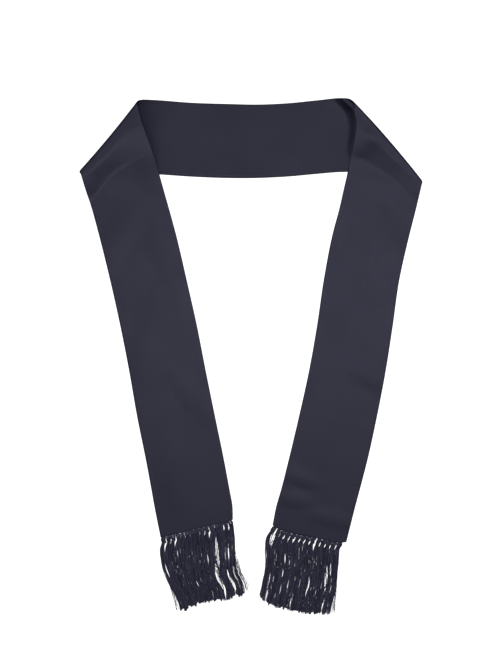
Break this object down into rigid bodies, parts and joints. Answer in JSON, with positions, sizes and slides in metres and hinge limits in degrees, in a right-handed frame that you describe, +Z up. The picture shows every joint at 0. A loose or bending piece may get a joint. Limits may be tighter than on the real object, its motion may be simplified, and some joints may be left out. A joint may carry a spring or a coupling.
{
  "type": "evening scarf",
  "caption": "Long narrow dark silk scarf with knotted fringes, laid flat as worn, its two ends turned down over the neck band.",
  "frame": {"origin": "middle of the laid-out scarf's bounding box, on the table that it lies on", "axes": "+X to the right of the scarf seen from above, +Y from the fringes to the neck band, +Z up from the table"},
  "size_m": [0.5014, 0.7556, 0.0131],
  "materials": {
    "satin": "midnight blue silk, softly lustrous",
    "fringe_silk": "midnight blue twisted silk threads"
  },
  "bodies": {
    "root": {"neck_band": "satin", "left_end": "satin", "right_end": "satin", "left_fringe": "fringe_silk", "right_fringe": "fringe_silk"}
  },
  "joints": []
}
